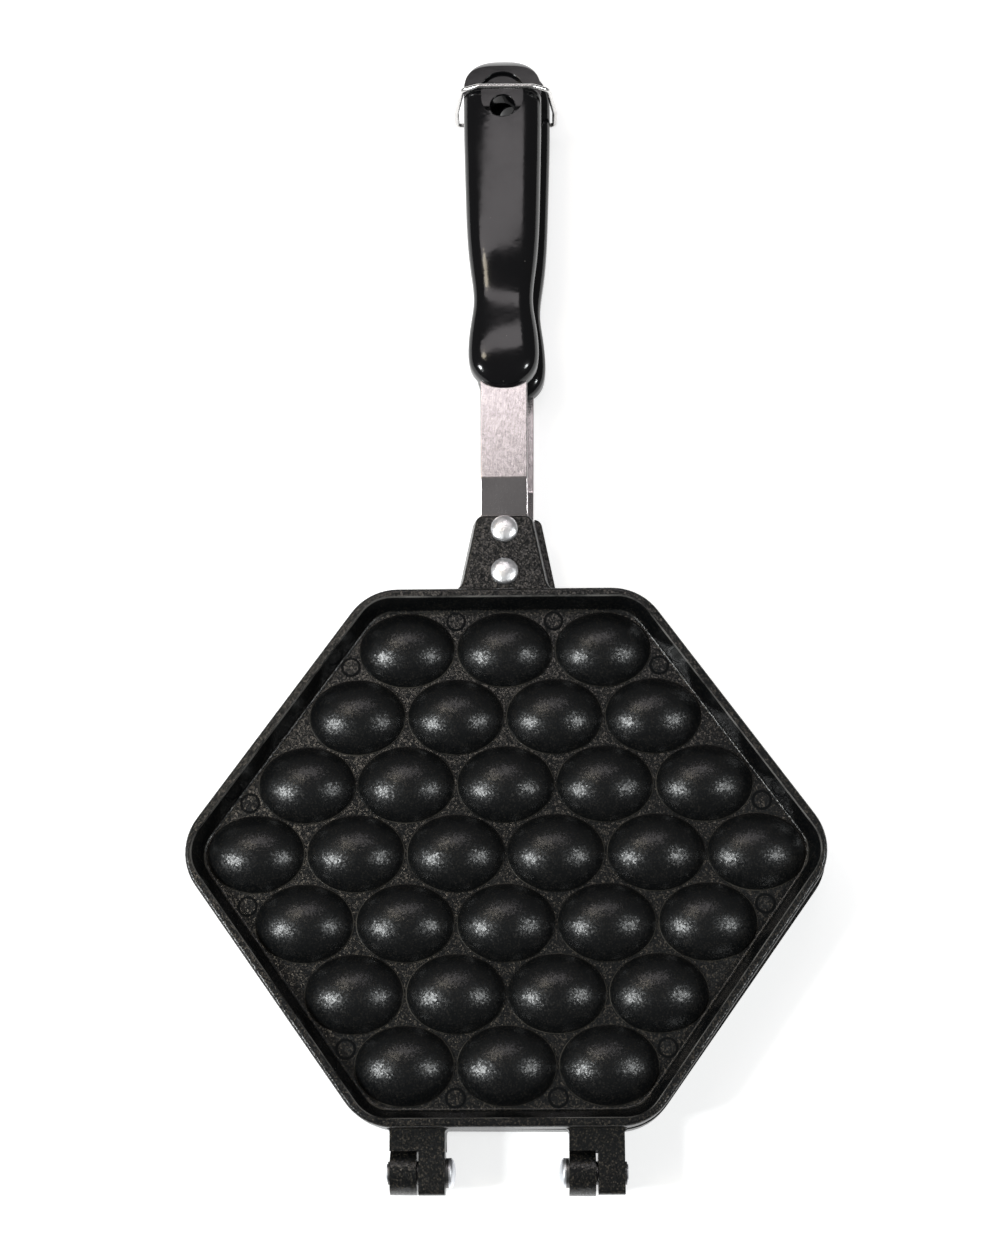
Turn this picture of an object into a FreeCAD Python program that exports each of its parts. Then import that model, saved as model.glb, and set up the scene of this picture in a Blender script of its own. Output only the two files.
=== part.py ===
import FreeCAD, Part
import math
import os
import re

import Sketcher

# An egg waffle pan: two equal cast aluminium halves, closed face to face on a double hinge.
# Each half is drawn with the parting plane at z = 0, its outer side up, the hinge axis on the
# X axis and the handle towards +Y. The lower half is the same drawing turned over.

# Driving sizes in millimetres, angles in degrees
SIZES = {
    # cups and the bulges that they make on the outer side
    "cup_pitch": 34.5,
    "row_pitch": 24.1,
    "cup_half_width": 16.1,
    "cup_half_length": 12.5,
    "bulge_wall": 2.3,
    "bulge_sink": 0.3,
    "bulge_root": 0.15,
    # plate and rim of a half
    "half_thickness": 15.5,
    "recess_depth": 2.0,
    "floor_thickness": 5.0,
    "rim_margin": 6.9,
    "rim_width": 2.8,
    "rim_slope_run": 3.2,
    "rim_edge_radius": 1.2,
    "floor_edge_radius": 1.0,
    "corner_radius": 20.0,
    "land_width": 7.2,
    "ejector_radius": 3.1,
    "ejector_height": 0.25,
    # hinge lugs and knuckles
    "hinge_reach": 14.3,
    "hinge_spacing": 60.0,
    "lug_width": 18.5,
    "lug_height": 8.0,
    "lug_end": 7.0,
    "lug_root": 6.0,
    "lug_root_radius": 1.5,
    "knuckle_radius": 7.3,
    "knuckle_edge_radius": 1.5,
    "knuckle_gap": 0.84,
    "knuckle_clearance": 0.4,
    # hinge pins and washers
    "pin_radius": 2.5,
    "pin_play": 0.25,
    "play_angle": 0.25,
    "pin_head_radius": 5.0,
    "pin_head_rim": 0.5,
    "pin_head_height": 2.3,
    "pin_tail_radius": 3.0,
    "pin_tail_height": 0.4,
    "washer_seat": 0.1,
    "washer_bore_play": 0.1,
    "head_washer_radius": 4.9,
    "head_washer_thickness": 1.0,
    "tail_washer_radius": 3.8,
    "tail_washer_thickness": 0.7,
    "spacer_radius": 3.9,
    "spacer_thickness": 0.6,
    # tongue that carries the handle strap
    "tongue_length": 30.1,
    "tongue_height": 10.2,
    "tongue_end_half_width": 11.0,
    "tongue_root_half_width": 18.1,
    "tongue_root": 4.3,
    "tongue_draft": 9.0,
    "tongue_corner_radius": 3.0,
    "tongue_root_radius": 6.0,
    "tongue_edge_radius": 1.0,
    # strap and its rivets
    "strap_width": 17.0,
    "strap_thickness": 1.8,
    "strap_seat": 5.2,
    "strap_rise": 4.0,
    "strap_step_run": 13.0,
    "strap_bend_radius": 3.0,
    "strap_edge_radius": 0.4,
    "strap_side_play": 0.25,
    "strap_tail": 7.0,
    "tang_length": 67.0,
    "tang_clearance": 0.1,
    "rivet_spacing": 15.8,
    "rivet_end_distance": 6.7,
    "rivet_radius": 2.5,
    "rivet_hole_play": 0.05,
    "rivet_head_radius": 4.9,
    "rivet_head_rim": 0.4,
    "rivet_head_height": 2.3,
    "rivet_tail_radius": 4.2,
    "rivet_tail_height": 1.5,
    # grip
    "grip_start": 47.3,
    "grip_length": 135.7,
    "grip_half_width": 14.6,
    "grip_inner_gap": 1.2,
    "grip_nose_length": 12.0,
    "tab_height": 9.6,
    "shoulder_radius": 24.0,
    "shoulder_setback": 14.1,
    "shoulder_edge_radius": 0.8,
    "hang_hole_width": 15.8,
    "hang_hole_length": 21.0,
    "hang_hole_end_wall": 8.2,
    "hang_hole_floor": 7.8,
    "hang_hole_mouth_radius": 0.8,
    "hang_hole_edge_radius": 0.5,
    "hang_eye_radius": 4.5,
    # grip screw
    "screw_setback": 15.0,
    "screw_radius": 2.0,
    "screw_hole_play": 0.05,
    "screw_head_radius": 3.6,
    "screw_head_height": 1.6,
    "screw_head_recess": 0.4,
    "screw_head_play": 0.3,
    "screw_length": 11.2,
    "screw_tip_gap": 0.5,
    "screw_slot_width": 0.9,
    "screw_slot_depth": 0.7,
    # locking bail
    "wire_radius": 0.9,
    "wire_bend_radius": 2.4,
    "hook_bend_radius": 1.6,
    "wire_hole_play": 0.08,
    "bail_setback": 21.1,
    "bail_lean": 3.3,
    "bail_seat_gap": 0.1,
    "bail_swing_gap": 0.3,
    "bail_left_reach": 21.0,
    "bail_right_reach": 16.3,
    "bail_shoulder_step": 2.6,
    "bail_shoulder_drop": 2.5,
    "bail_bar_step": 5.8,
    "bail_left_hook": 9.5,
    "bail_right_hook": 7.0,
    "bail_hole_depth": 5.6,
    # overrun of every cutting tool
    "overrun": 2.0,
}

# Sizes worked out from the driving ones
WORKED = {
    "cup_depth": "half_thickness - bulge_sink - bulge_wall - recess_depth",
    "bulge_height": "cup_depth + bulge_wall",
    "bulge_half_width": "cup_half_width + bulge_wall",
    "bulge_half_length": "cup_half_length + bulge_wall",
    "floor_level": "recess_depth + floor_thickness",
    "foot_share": "sqrt(1 - (floor_thickness / bulge_height)^2)",
    "foot_half_width": "bulge_half_width * foot_share",
    "foot_half_length": "bulge_half_length * foot_share",
    "side_slant": "sqrt((cup_pitch / 2)^2 + row_pitch^2)",
    "side_sine": "row_pitch / side_slant",
    "side_cosine": "cup_pitch / 2 / side_slant",
    "foot_reach": "sqrt((foot_half_width * side_sine)^2 + (foot_half_length * side_cosine)^2)",
    "pan_half_length": "3 * row_pitch + foot_half_length + rim_margin",
    "pan_half_width": "2.5 * cup_pitch + (foot_reach + rim_margin) / side_sine",
    "pan_centre": "hinge_reach + pan_half_length",
    "pan_far_edge": "hinge_reach + 2 * pan_half_length",
    "recess_margin": "rim_width + rim_slope_run",
    "rim_slope_angle": "atan(rim_slope_run / (half_thickness - floor_level))",
    "knuckle_sweep": "sqrt((knuckle_radius - knuckle_edge_radius)^2"
                     " + (lug_height - knuckle_edge_radius)^2) + knuckle_edge_radius",
    "hinge_inner": "(hinge_spacing - lug_width) / 2",
    "hinge_outer": "(hinge_spacing + lug_width) / 2",
    "tongue_end": "pan_far_edge + tongue_length",
    "first_rivet": "tongue_end - rivet_end_distance",
    "second_rivet": "first_rivet - rivet_spacing",
    "strap_start": "second_rivet - strap_tail",
    "strap_outer": "strap_seat + strap_rise",
    "grip_near_end": "tongue_end + grip_start",
    "grip_far_end": "grip_near_end + grip_length",
    "grip_middle": "(grip_inner_gap + half_thickness) / 2",
    "screw_place": "grip_near_end + screw_setback",
    "bail_place": "grip_far_end - bail_setback",
    "bail_bar_height": "half_thickness + bail_seat_gap + wire_radius + grip_middle",
    "bail_reach": "sqrt(bail_lean^2 + bail_bar_height^2)",
    "nose_radius": "bail_reach - wire_radius - bail_swing_gap",
    "hang_hole_half": "hang_hole_width / 2",
    "hang_hole_far": "grip_far_end - hang_hole_end_wall",
    "hang_hole_near": "hang_hole_far - hang_hole_length",
    "hang_eye_place": "hang_hole_near + hang_hole_half",
    "hinge_place": "(knuckle_radius - grip_far_end) / 2",
}

# Rows of cups: how many each row holds, from the hinge to the handle
CUPS_IN_ROW = (3, 4, 5, 6, 5, 4, 3)

# Ejector marks, as shares of the cup pitch and of the row pitch from the middle of the pan
EJECTOR_PLACE_SHARES = ((0.5, 3.44), (1.575, 2.76), (2.573, 0.746))

# Grip between its rounded ends: share of the length, of the half width and of the outer height
GRIP_FORM_SHARES = (
    (0.110, 0.894, 0.990),
    (0.170, 0.845, 0.950),
    (0.215, 0.775, 0.900),
    (0.255, 0.735, 0.868),
    (0.300, 0.765, 0.895),
    (0.360, 0.850, 0.965),
    (0.440, 0.915, 0.995),
    (0.540, 0.945, 1.000),
    (0.650, 0.970, 1.000),
    (0.760, 0.995, 1.000),
    (0.830, 1.000, 1.000),
)
GRIP_NOSE_TURNS = (5, 17, 31, 46, 61, 76)
GRIP_END_TURNS = (90, 80, 70, 60, 50, 40, 30, 20, 11, 4)
GRIP_RING_POINTS = 36

# Squareness of the grip's section, towards the outer face and towards the other grip
OUTER_SQUARENESS = 3.3
INNER_SQUARENESS = 5.0

os.makedirs("parts", exist_ok=True)
doc = FreeCAD.newDocument("egg_waffle_pan")


# The sheet holds each driving size as a number, and below them each worked size as a formula
sheet = doc.addObject("Spreadsheet::Sheet", "Sizes")
cells = [(alias, str(value)) for alias, value in SIZES.items()]
cells += [(alias, "=" + formula) for alias, formula in WORKED.items()]
for line, (alias, content) in enumerate(cells, start=1):
    sheet.set("A%d" % line, alias)
    sheet.setAlias("B%d" % line, alias)
    sheet.set("B%d" % line, content)
doc.recompute()


def ref(text):
    """Turn the size names in a formula into cell references."""
    def cell(match):
        word = match.group(0)
        return "Sizes." + word if word in SIZES or word in WORKED else word
    return re.sub(r"[a-z][a-z_]*", cell, text)


def size(text):
    """The present value of a formula in the sizes."""
    return float(sheet.evalExpression(ref(text)))


def bind(thing, **formulas):
    """Tie properties of an object to formulas in the sizes."""
    for name, text in formulas.items():
        thing.setExpression(name.replace("__", "."), ref(text))
    return thing


def box(name, x_range, y_range, z_range):
    """A block between two formulas along each axis."""
    block = doc.addObject("Part::Box", name)
    for side, axis, (low, high) in zip(("Length", "Width", "Height"), "xyz", (x_range, y_range, z_range)):
        block.setExpression(side, ref("(%s) - (%s)" % (high, low)))
        block.setExpression("Placement.Base." + axis, ref(low))
    return block


def cylinder(name, radius, height, x="0", y="0", z="0", along="z"):
    """A round bar that starts at a point and runs along +Z or +X."""
    bar = doc.addObject("Part::Cylinder", name)
    bind(bar, Radius=radius, Height=height)
    spin = {"z": "rotation(vector(0; 0; 1); 0)", "x": "rotation(vector(0; 1; 0); 90)"}[along]
    bind(bar, Placement="placement(vector(%s; %s; %s); %s)" % (x, y, z, spin))
    return bar


def ellipsoid(name, half_width, half_length, height, x, y, z, base):
    """The part of an ellipsoid above a level, given from its middle plane."""
    bulb = doc.addObject("Part::Ellipsoid", name)
    bind(bulb, Radius1=height, Radius2=half_width, Radius3=half_length)
    bind(bulb, Angle1="asin((%s) / (%s))" % (base, height))
    bind(bulb, Placement__Base__x=x, Placement__Base__y=y, Placement__Base__z=z)
    return bulb


def fuse(name, shapes):
    joined = doc.addObject("Part::MultiFuse", name)
    joined.Shapes = shapes
    return joined


def cut(name, base, tool):
    remains = doc.addObject("Part::Cut", name)
    remains.Base = base
    remains.Tool = tool
    return remains


def polygon(body, name, plane, points):
    """A closed outline on one of the body's own planes, each corner held by two formulas."""
    sketch = body.newObject("Sketcher::SketchObject", name)
    support = [item for item in body.Origin.OriginFeatures if item.Role == plane][0]
    sketch.AttachmentSupport = (support, [""])
    sketch.MapMode = "FlatFace"
    corners = [FreeCAD.Vector(size(across), size(up), 0) for across, up in points]
    for index, corner in enumerate(corners):
        following = corners[(index + 1) % len(corners)]
        sketch.addGeometry(Part.LineSegment(corner, following), False)
    for index in range(len(corners)):
        sketch.addConstraint(Sketcher.Constraint("Coincident", index, 2, (index + 1) % len(corners), 1))
    for index, (across, up) in enumerate(points):
        for kind, text in (("DistanceX", across), ("DistanceY", up)):
            place = sketch.addConstraint(Sketcher.Constraint(kind, -1, 1, index, 1, size(text)))
            sketch.setExpression("Constraints[%d]" % place, ref(text))
    return sketch


def pad(body, name, sketch, length, **formulas):
    feature = body.newObject("PartDesign::Pad", name)
    feature.Profile = sketch
    bind(feature, Length=length, **formulas)
    doc.recompute()
    return feature


def carry_on(name, shape):
    """A body that starts from a finished shape, so that its edges can be rounded."""
    body = doc.addObject("PartDesign::Body", name)
    body.BaseFeature = shape
    doc.recompute()
    return body


def round_edges(body, name, radius, wanted):
    """Round every edge of the body's present shape that passes the test."""
    base = body.Tip
    names = ["Edge%d" % (index + 1) for index, edge in enumerate(base.Shape.Edges) if wanted(edge)]
    feature = body.newObject("PartDesign::Fillet", name)
    feature.Base = (base, names)
    bind(feature, Radius=radius)
    doc.recompute()
    return feature


def is_upright(edge):
    """True for an edge that climbs more than it runs."""
    run = edge.lastVertex().Point - edge.firstVertex().Point
    return abs(run.z) > math.hypot(run.x, run.y)


def lies_at(edge, level):
    """True for an edge that stays at one height."""
    slack = size("overrun / 100")
    return abs(edge.BoundBox.ZMin - level) < slack and abs(edge.BoundBox.ZMax - level) < slack


def hexagon(margin):
    """Corners of the pan's outline, set back evenly by a margin."""
    level = "(pan_half_length - (%s))" % margin
    wide = "(pan_half_width - (%s) / side_sine)" % margin
    narrow = "(%s - %s * side_cosine / side_sine)" % (wide, level)
    return [
        (narrow, "pan_centre + " + level),
        (wide, "pan_centre"),
        (narrow, "pan_centre - " + level),
        ("-" + narrow, "pan_centre - " + level),
        ("-" + wide, "pan_centre"),
        ("-" + narrow, "pan_centre + " + level),
    ]


def place_node(thing, label, side, across="0"):
    """Label a finished piece and put it in the closed pan."""
    turn = {
        "upper": "rotation(vector(0; 0; 1); play_angle)",
        "lower": "rotation(vector(0; 0; 1); -play_angle) * rotation(vector(0; 1; 0); 180)",
        "lower_upright": "rotation(vector(0; 0; 1); -play_angle)",
        "hinge": "rotation(vector(0; 0; 1); 0)",
        "left_pin": "rotation(vector(0; 1; 0); 90)",
        "right_pin": "rotation(vector(0; 1; 0); -90)",
    }[side]
    bind(thing, Placement="placement(vector(%s; hinge_place; half_thickness); %s)" % (across, turn))
    thing.Label = label
    nodes[label] = thing


nodes = {}

# Casting blank: the hexagonal plate, the tongue and the hinge lugs, before the hollows are cut
blank = doc.addObject("PartDesign::Body", "casting_blank")
pad(blank, "plate", polygon(blank, "plate_outline", "XY_Plane", hexagon("0")), "half_thickness")
round_edges(blank, "plate_corners", "corner_radius", is_upright)
plate_top = size("half_thickness")
round_edges(blank, "rim_edge", "rim_edge_radius",
            lambda edge: min(vertex.Z for vertex in edge.Vertexes) > plate_top - size("rim_edge_radius"))

tongue_outline = polygon(blank, "tongue_outline", "XY_Plane", [
    ("tongue_end_half_width", "tongue_end"),
    ("tongue_root_half_width", "pan_far_edge - tongue_root"),
    ("-tongue_root_half_width", "pan_far_edge - tongue_root"),
    ("-tongue_end_half_width", "tongue_end"),
])
pad(blank, "tongue", tongue_outline, "tongue_height", TaperAngle="-tongue_draft")


def in_tongue(edge, low, high):
    middle = edge.CenterOfMass
    return low < middle.y < high and abs(middle.x) < size("2 * tongue_root_half_width")


far_edge = size("pan_far_edge")
round_edges(blank, "tongue_corners", "tongue_corner_radius",
            lambda edge: is_upright(edge) and in_tongue(edge, size("first_rivet"), size("tongue_end + overrun")))
round_edges(blank, "tongue_flare", "tongue_root_radius",
            lambda edge: is_upright(edge) and in_tongue(edge, far_edge - size("overrun"), size("second_rivet")))
tongue_top = size("tongue_height")
round_edges(blank, "tongue_edge", "tongue_edge_radius",
            lambda edge: in_tongue(edge, far_edge + size("tongue_edge_radius"), size("tongue_end"))
            and min(vertex.Z for vertex in edge.Vertexes) > tongue_top - size("tongue_edge_radius"))

for hinge_name, hinge_middle in (("left", "-hinge_spacing / 2"), ("right", "hinge_spacing / 2")):
    lug_outline = polygon(blank, hinge_name + "_lug_outline", "XY_Plane", [
        ("%s - lug_width / 2" % hinge_middle, "hinge_reach + lug_root"),
        ("%s + lug_width / 2" % hinge_middle, "hinge_reach + lug_root"),
        ("%s + lug_width / 2" % hinge_middle, "-knuckle_radius"),
        ("%s + knuckle_gap / 2" % hinge_middle, "-knuckle_radius"),
        ("%s + knuckle_gap / 2" % hinge_middle, "lug_end"),
        ("%s - lug_width / 2" % hinge_middle, "lug_end"),
    ])
    pad(blank, hinge_name + "_lug", lug_outline, "lug_height")

knuckle_end = -size("knuckle_radius")
reach = size("hinge_reach")
round_edges(blank, "knuckle_edges", "knuckle_edge_radius",
            lambda edge: not is_upright(edge) and edge.CenterOfMass.z > size("lug_height - overrun")
            and abs(edge.CenterOfMass.y - knuckle_end) < size("overrun / 10"))
lug_sides = (size("hinge_inner"), size("hinge_outer"))
round_edges(blank, "lug_roots", "lug_root_radius",
            lambda edge: is_upright(edge) and abs(edge.CenterOfMass.y - reach) < size("overrun / 10")
            and min(abs(abs(edge.CenterOfMass.x) - side) for side in lug_sides) < size("overrun / 10"))

# Outer hollow, with sloping walls and a rounded foot, that leaves the rim standing
outer_hollow = doc.addObject("PartDesign::Body", "outer_hollow")
pad(outer_hollow, "hollow_block", polygon(outer_hollow, "hollow_outline", "XY_Plane", hexagon("recess_margin")),
    "half_thickness - floor_level + overrun", TaperAngle="rim_slope_angle")
round_edges(outer_hollow, "hollow_corners", "corner_radius - recess_margin", is_upright)
round_edges(outer_hollow, "hollow_foot", "floor_edge_radius",
            lambda edge: max(vertex.Z for vertex in edge.Vertexes) < size("floor_edge_radius"))
bind(outer_hollow, Placement__Base__z="floor_level")

# Shallow hollow of the inner face, inside the land where the halves meet
inner_hollow = doc.addObject("PartDesign::Body", "inner_hollow")
pad(inner_hollow, "recess_block", polygon(inner_hollow, "recess_outline", "XY_Plane", hexagon("land_width")),
    "recess_depth + overrun")
round_edges(inner_hollow, "recess_corners", "corner_radius - land_width", is_upright)
bind(inner_hollow, Placement__Base__z="-overrun")

# Cups and bulges, row by row
bulges = []
cups = []
for row, count in enumerate(CUPS_IN_ROW):
    row_place = "pan_centre + (%d) * row_pitch" % (row - len(CUPS_IN_ROW) // 2)
    for column in range(count):
        across = "(%.1f) * cup_pitch" % (column - (count - 1) / 2)
        mark = "_%d_%d" % (row + 1, column + 1)
        bulges.append(ellipsoid("bulge" + mark, "bulge_half_width", "bulge_half_length", "bulge_height",
                                across, row_place, "recess_depth", "floor_thickness - bulge_root"))
        cups.append(ellipsoid("cup" + mark, "cup_half_width", "cup_half_length", "cup_depth",
                              across, row_place, "recess_depth", "-bulge_root"))

# Flat round ejector marks between the bulges and the rim
marks = []
for across_share, along_share in EJECTOR_PLACE_SHARES:
    for across_way in (-1, 1):
        for along_way in (-1, 1):
            marks.append(cylinder(
                "ejector_mark_%d" % (len(marks) + 1), "ejector_radius", "ejector_height + bulge_root",
                "%.4f * cup_pitch" % (across_way * across_share),
                "pan_centre + (%.4f) * row_pitch" % (along_way * along_share),
                "floor_level - bulge_root"))

# Hinge barrels on the inner side of the knuckles, and the room for the other half's knuckles
barrels = []
fittings = []
for hinge_name, hinge_middle in (("left", "-hinge_spacing / 2"), ("right", "hinge_spacing / 2")):
    barrels.append(cylinder(hinge_name + "_barrel", "knuckle_radius", "(lug_width - knuckle_gap) / 2",
                            "%s + knuckle_gap / 2" % hinge_middle, along="x"))
    fittings.append(cylinder(hinge_name + "_knuckle_room", "knuckle_sweep + knuckle_clearance",
                             "(lug_width + knuckle_gap) / 2 + overrun",
                             "%s - lug_width / 2 - overrun" % hinge_middle, along="x"))
    fittings.append(cylinder(hinge_name + "_bore", "pin_radius + pin_play", "lug_width + 2 * overrun",
                             "%s - lug_width / 2 - overrun" % hinge_middle, along="x"))

# Channel for the strap under the tongue, and its rivet holes
fittings.append(box("strap_channel",
                    ("-strap_width / 2 - strap_side_play", "strap_width / 2 + strap_side_play"),
                    ("strap_start - strap_side_play", "tongue_end + overrun"),
                    ("-overrun", "strap_seat")))
for rivet_name in ("first", "second"):
    fittings.append(cylinder(rivet_name + "_rivet_hole", "rivet_radius + rivet_hole_play",
                             "tongue_height + overrun", "0", rivet_name + "_rivet", "0"))

rim_stage = cut("rimmed_blank", blank, outer_hollow)
bulged_stage = fuse("bulged_blank", [rim_stage] + bulges + marks + barrels)
inner_tools = fuse("inner_tools", [inner_hollow] + cups)
cupped_stage = cut("cupped_blank", bulged_stage, inner_tools)
casting = cut("casting", cupped_stage, fuse("fitting_tools", fittings))
for half in ("upper", "lower"):
    cast_half = doc.addObject("Part::Compound", half + "_casting")
    cast_half.Links = [casting]
    place_node(cast_half, half + "_pan_half", half)


def strap_sheet(half):
    """The bent strap, with a tail under the tongue and a tang in the grip."""
    body = doc.addObject("PartDesign::Body", half + "_strap_sheet")
    step_start = "(tongue_end + washer_seat)"
    step_end = "(tongue_end + strap_step_run)"
    tang_end = "(grip_near_end + tang_length)"
    profile = polygon(body, half + "_strap_profile", "YZ_Plane", [
        ("strap_start", "strap_seat"),
        (step_start, "strap_seat"),
        (step_end, "strap_outer"),
        (tang_end, "strap_outer"),
        (tang_end, "strap_outer - strap_thickness"),
        (step_end, "strap_outer - strap_thickness"),
        (step_start, "strap_seat - strap_thickness"),
        ("strap_start", "strap_seat - strap_thickness"),
    ])
    feature = pad(body, half + "_strap_pad", profile, "strap_width")
    feature.Midplane = True
    doc.recompute()

    def is_bend(edge):
        across = edge.lastVertex().Point - edge.firstVertex().Point
        middle = edge.CenterOfMass
        return (abs(across.x) > size("strap_width / 2")
                and size("strap_start + overrun") < middle.y < size("grip_near_end"))

    def is_long_edge(edge):
        run = edge.lastVertex().Point - edge.firstVertex().Point
        return abs(run.x) < size("strap_thickness") and abs(run.y) > abs(run.z)

    round_edges(body, half + "_strap_bends", "strap_bend_radius", is_bend)
    round_edges(body, half + "_strap_edges", "strap_edge_radius", is_long_edge)
    return body


def round_head(name, radius, rim, height):
    """A low domed head that stands on z = 0."""
    disc = cylinder(name + "_rim", radius, rim)
    dome = ellipsoid(name + "_dome", radius, radius, "%s - %s" % (height, rim), "0", "0", rim, "0")
    return fuse(name, [disc, dome])


def strap_rivet(half, which):
    """A round-headed rivet through the tongue and the strap, spread at its inner end."""
    name = "%s_%s_rivet" % (half, which)
    head = round_head(name + "_head", "rivet_head_radius", "rivet_head_rim", "rivet_head_height")
    bind(head, Placement__Base__y=which + "_rivet", Placement__Base__z="tongue_height")
    inner = "(strap_seat - strap_thickness)"
    shank = cylinder(name + "_shank", "rivet_radius", "tongue_height - %s" % inner, "0", which + "_rivet", inner)
    tail = cylinder(name + "_tail", "rivet_tail_radius", "rivet_tail_height",
                    "0", which + "_rivet", "%s - rivet_tail_height" % inner)
    return fuse(name, [head, shank, tail])


def grip_section(place, half_width, outer, inner):
    """A ring of points: a flattened oval, flatter still towards the other grip."""
    middle = (outer + inner) / 2
    ring = []
    for step in range(GRIP_RING_POINTS):
        turn = 2 * math.pi * step / GRIP_RING_POINTS
        across, up = math.cos(turn), math.sin(turn)
        power = OUTER_SQUARENESS if up >= 0 else INNER_SQUARENESS
        spread = (abs(across) ** power + abs(up) ** power) ** (-1 / power)
        ring.append(FreeCAD.Vector(across * spread * half_width, place,
                                   middle + up * spread * (outer - inner) / 2))
    return ring


def grip_form():
    """The grip as one smooth skin, from its blunt nose to the end that the bail swings over."""
    near, length = size("grip_near_end"), size("grip_length")
    far = size("grip_far_end")
    top, inner = size("half_thickness"), size("grip_inner_gap")
    middle = size("grip_middle")
    half_width = size("grip_half_width")
    nose = size("grip_nose_length")
    rings = []
    for turn in GRIP_NOSE_TURNS:
        share = math.sin(math.radians(turn))
        rings.append(grip_section(near + nose * (1 - math.cos(math.radians(turn))),
                                  half_width * GRIP_FORM_SHARES[0][1] * share,
                                  middle + (top * GRIP_FORM_SHARES[0][2] - middle) * share,
                                  middle - (middle - inner) * share))
    for length_share, width_share, height_share in GRIP_FORM_SHARES:
        rings.append(grip_section(near + length * length_share, half_width * width_share,
                                  top * height_share, inner))
    bail_place, nose_radius = size("bail_place"), size("nose_radius")
    for turn in GRIP_END_TURNS:
        place = far - half_width + half_width * math.cos(math.radians(turn))
        under_bail = math.sqrt(nose_radius ** 2 - (place - bail_place) ** 2) - middle
        rings.append(grip_section(place, half_width * math.sin(math.radians(turn)),
                                  min(top, under_bail), inner))
    ring_count, point_count = len(rings), GRIP_RING_POINTS
    skin = Part.BSplineSurface()
    skin.buildFromPolesMultsKnots(
        [[ring[point] for ring in rings] for point in range(point_count)],
        [1] * (point_count + 1), [4] + [1] * (ring_count - 4) + [4],
        list(range(point_count + 1)), list(range(ring_count - 2)), True, False, 3, 3)
    side = skin.toShape()
    rims = [edge for edge in side.Edges if edge.BoundBox.YLength < size("bulge_root")]
    caps = [Part.Face(Part.Wire([rim])) for rim in rims]
    shell = Part.Shell([side] + caps)
    shell.sewShape()
    return Part.Solid(shell)


grip_blank = doc.addObject("Part::Feature", "grip_blank")
grip_blank.Shape = grip_form()

# The far end of the grip steps down behind a curved shoulder to a thin tab
tab_room = cut("tab_room",
               box("tab_room_block", ("-grip_half_width - overrun", "grip_half_width + overrun"),
                   ("grip_far_end - shoulder_setback - grip_half_width", "grip_far_end + overrun"),
                   ("tab_height", "half_thickness + overrun")),
               cylinder("shoulder_round", "shoulder_radius", "half_thickness + 2 * overrun", "0",
                        "grip_far_end - shoulder_setback - shoulder_radius", "0"))
stepped_grip = carry_on("stepped_grip", cut("stepped_grip_blank", grip_blank, tab_room))
round_edges(stepped_grip, "shoulder_edge", "shoulder_edge_radius",
            lambda edge: edge.BoundBox.YMin > size("screw_place")
            and edge.BoundBox.ZMax > size("tab_height + overrun"))

# A long recess with a rounded mouth, and a smaller round eye through its floor, to hang the pan by
hang_recess_blank = fuse("hang_recess_blank", [
    box("hang_recess_middle", ("-hang_hole_half", "hang_hole_half"),
        ("hang_eye_place", "hang_hole_far - hang_hole_half"),
        ("hang_hole_floor", "half_thickness + overrun")),
    cylinder("hang_recess_near_end", "hang_hole_half", "half_thickness - hang_hole_floor + overrun", "0",
             "hang_eye_place", "hang_hole_floor"),
    cylinder("hang_recess_far_end", "hang_hole_half", "half_thickness - hang_hole_floor + overrun", "0",
             "hang_hole_far - hang_hole_half", "hang_hole_floor"),
    box("hang_recess_mouth", ("-hang_hole_half - overrun", "hang_hole_half + overrun"),
        ("hang_hole_near - overrun", "hang_hole_far + overrun"),
        ("half_thickness", "half_thickness + overrun")),
])
hang_recess_blank.Refine = True
hang_recess = carry_on("hang_recess", hang_recess_blank)
round_edges(hang_recess, "hang_recess_lip", "hang_hole_mouth_radius",
            lambda edge: lies_at(edge, size("half_thickness"))
            and abs(edge.CenterOfMass.x) < size("hang_hole_half + overrun / 2")
            and size("hang_hole_near - overrun / 2") < edge.CenterOfMass.y < size("hang_hole_far + overrun / 2"))
hang_eye = cylinder("hang_eye", "hang_eye_radius", "half_thickness + overrun", "0", "hang_eye_place")


def is_hang_edge(edge):
    """True for the rims of the eye, the rim of the recess on the tab and the foot of the shoulder."""
    slack = size("overrun / 100")
    off_eye = [abs(math.hypot(end.X, end.Y - size("hang_eye_place")) - size("hang_eye_radius"))
               for end in edge.Vertexes]
    on_eye = max(off_eye) < slack and edge.BoundBox.ZLength < size("hang_eye_radius / 2")
    on_tab = (lies_at(edge, size("tab_height")) and edge.Length > size("hang_hole_half / 2")
              and edge.BoundBox.YMax < size("hang_hole_far") + slack)
    return on_eye or on_tab


tang_slot = box("tang_slot",
                ("-strap_width / 2 - tang_clearance", "strap_width / 2 + tang_clearance"),
                ("grip_near_end - overrun", "grip_near_end + tang_length + tang_clearance"),
                ("strap_outer - strap_thickness - tang_clearance", "strap_outer + tang_clearance"))
screw_shank_hole = cylinder("screw_shank_hole", "screw_radius + screw_hole_play",
                            "screw_head_recess + screw_head_height + screw_length + screw_tip_gap",
                            "0", "screw_place", "grip_inner_gap")
screw_head_hole = cylinder("screw_head_hole", "screw_head_radius + screw_head_play",
                           "screw_head_recess + screw_head_height + grip_inner_gap",
                           "0", "screw_place", "0")
bail_holes = [
    cylinder(hand + "_bail_hole", "wire_radius + wire_hole_play", "bail_hole_depth + overrun",
             start, "bail_place", "grip_middle", along="x")
    for hand, start in (("left", "grip_half_width - bail_hole_depth"), ("right", "-grip_half_width - overrun"))
]
screw_tools = [screw_shank_hole, screw_head_hole]
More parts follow.
